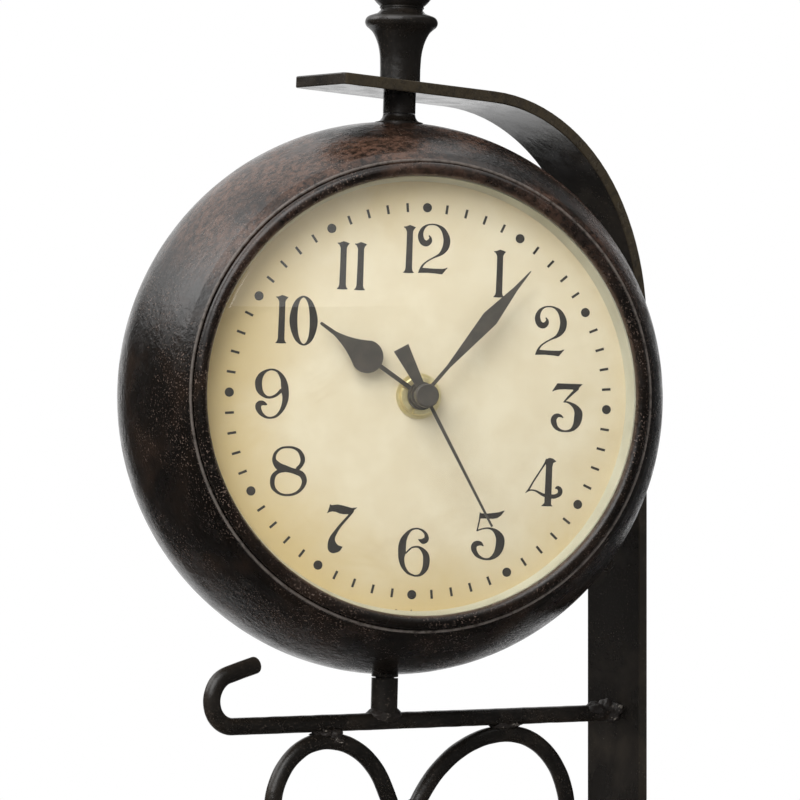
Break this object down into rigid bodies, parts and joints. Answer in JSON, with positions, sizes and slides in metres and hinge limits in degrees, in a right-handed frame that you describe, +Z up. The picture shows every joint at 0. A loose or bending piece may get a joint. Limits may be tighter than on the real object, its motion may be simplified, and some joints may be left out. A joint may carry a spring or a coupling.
{
  "type": "double sided station clock",
  "caption": "Round wall clock with a dial on each side, hung so that it turns in a scrolled iron wall bracket.",
  "frame": {"origin": "on the strap's flat back, which lies on the wall, at the height of the dials' centres and in the strap's middle", "axes": "+X into the wall, square to it; +Z up; +Y along the wall, away from the side that the front dial looks to"},
  "size_m": [0.1995, 0.1598, 0.4176],
  "materials": {
    "bracket_paint": "aged black paint, worn at the edges",
    "case_paint": "antiqued dark brown paint, satin",
    "bezel_paint": "antiqued dark brown paint, worn to bronze",
    "bare_steel": "zinc plated",
    "glass": "clear, domed",
    "dial_print": "aged cream with dark print",
    "dial_ring": "pale cream",
    "black_plastic": "moulded black",
    "grey_plastic": "moulded grey",
    "rubber": "matt black",
    "brass": "turned",
    "hand_paint": "matt dark brown",
    "battery_wrap": "plain dark wrap",
    "ferrite": "sintered ferrite",
    "copper_wire": "enamelled copper wire"
  },
  "bodies": {
    "bracket": {"wall_strap": "bracket_paint", "bottom_rail": "bracket_paint", "front_scroll": "bracket_paint", "rear_scroll": "bracket_paint", "upper_stem": "bracket_paint", "lower_socket": "bracket_paint"},
    "clock_head": {"bolt_washers": "bare_steel", "case_hoop": "bare_steel", "case_screw": "bracket_paint", "case_shell": "case_paint", "finial": "bracket_paint", "front_antenna_coil": "copper_wire", "front_antenna_rod": "ferrite", "front_battery": "battery_wrap", "front_battery_contacts": "bare_steel", "front_bezel": "bezel_paint", "front_dial": "dial_print", "front_dial_nut": "brass", "front_dial_retainer": "black_plastic", "front_dial_ring": "dial_ring", "front_dial_washer": "brass", "front_glass": "glass", "front_movement_cover": "black_plastic", "front_movement_housing": "black_plastic", "front_rubber_washer": "rubber", "pivot": "bare_steel", "rear_antenna_coil": "copper_wire", "rear_antenna_rod": "ferrite", "rear_battery": "battery_wrap", "rear_battery_contacts": "bare_steel", "rear_bezel": "bezel_paint", "rear_dial": "dial_print", "rear_dial_nut": "brass", "rear_dial_retainer": "black_plastic", "rear_dial_ring": "dial_ring", "rear_dial_washer": "brass", "rear_glass": "glass", "rear_movement_cover": "black_plastic", "rear_movement_housing": "black_plastic", "rear_rubber_washer": "rubber", "spindle": "bare_steel", "stem_collar": "case_paint"},
    "front_hour": {"front_hour_hand": "hand_paint", "front_hour_tube": "brass"},
    "front_minute": {"front_minute_hand": "hand_paint", "front_minute_tube": "brass"},
    "front_second": {"front_second_arbor": "bare_steel", "front_second_hand": "hand_paint"},
    "front_button": {"front_set_button": "grey_plastic"},
    "rear_hour": {"rear_hour_hand": "hand_paint", "rear_hour_tube": "brass"},
    "rear_minute": {"rear_minute_hand": "hand_paint", "rear_minute_tube": "brass"},
    "rear_second": {"rear_second_arbor": "bare_steel", "rear_second_hand": "hand_paint"},
    "rear_button": {"rear_set_button": "grey_plastic"}
  },
  "joints": [
    {"name": "head_swivel", "type": "hinge", "parent": "bracket", "child": "clock_head", "pos_m": [-0.1074, 0, 0], "axis": [0.0332, 0, 0.9995], "continuous": true},
    {"name": "front_minute_turn", "type": "hinge", "parent": "clock_head", "child": "front_minute", "pos_m": [-0.1074, 0, 0], "axis": [0.4568, 0.8894, -0.0152], "continuous": true},
    {"name": "front_hour_turn", "type": "hinge", "parent": "clock_head", "child": "front_hour", "pos_m": [-0.1074, 0, 0], "axis": [0.4568, 0.8894, -0.0152], "continuous": true},
    {"name": "front_second_turn", "type": "hinge", "parent": "clock_head", "child": "front_second", "pos_m": [-0.1074, 0, 0], "axis": [0.4568, 0.8894, -0.0152], "continuous": true},
    {"name": "front_button_press", "type": "slide", "parent": "clock_head", "child": "front_button", "axis": [-0.4568, -0.8894, 0.0152], "range_m": [0, 0.0008], "stiffness_N_per_m": 400, "springref_m": -0.001},
    {"name": "rear_minute_turn", "type": "hinge", "parent": "clock_head", "child": "rear_minute", "pos_m": [-0.1074, 0, 0], "axis": [-0.4568, -0.8894, 0.0152], "continuous": true},
    {"name": "rear_hour_turn", "type": "hinge", "parent": "clock_head", "child": "rear_hour", "pos_m": [-0.1074, 0, 0], "axis": [-0.4568, -0.8894, 0.0152], "continuous": true},
    {"name": "rear_second_turn", "type": "hinge", "parent": "clock_head", "child": "rear_second", "pos_m": [-0.1074, 0, 0], "axis": [-0.4568, -0.8894, 0.0152], "continuous": true},
    {"name": "rear_button_press", "type": "slide", "parent": "clock_head", "child": "rear_button", "axis": [0.4568, 0.8894, -0.0152], "range_m": [0, 0.0008], "stiffness_N_per_m": 400, "springref_m": -0.001}
  ],
  "couplings": [
    {"joint": "front_hour_turn", "follows": "front_minute_turn", "ratio": 0.083333},
    {"joint": "rear_hour_turn", "follows": "rear_minute_turn", "ratio": 0.083333}
  ]
}
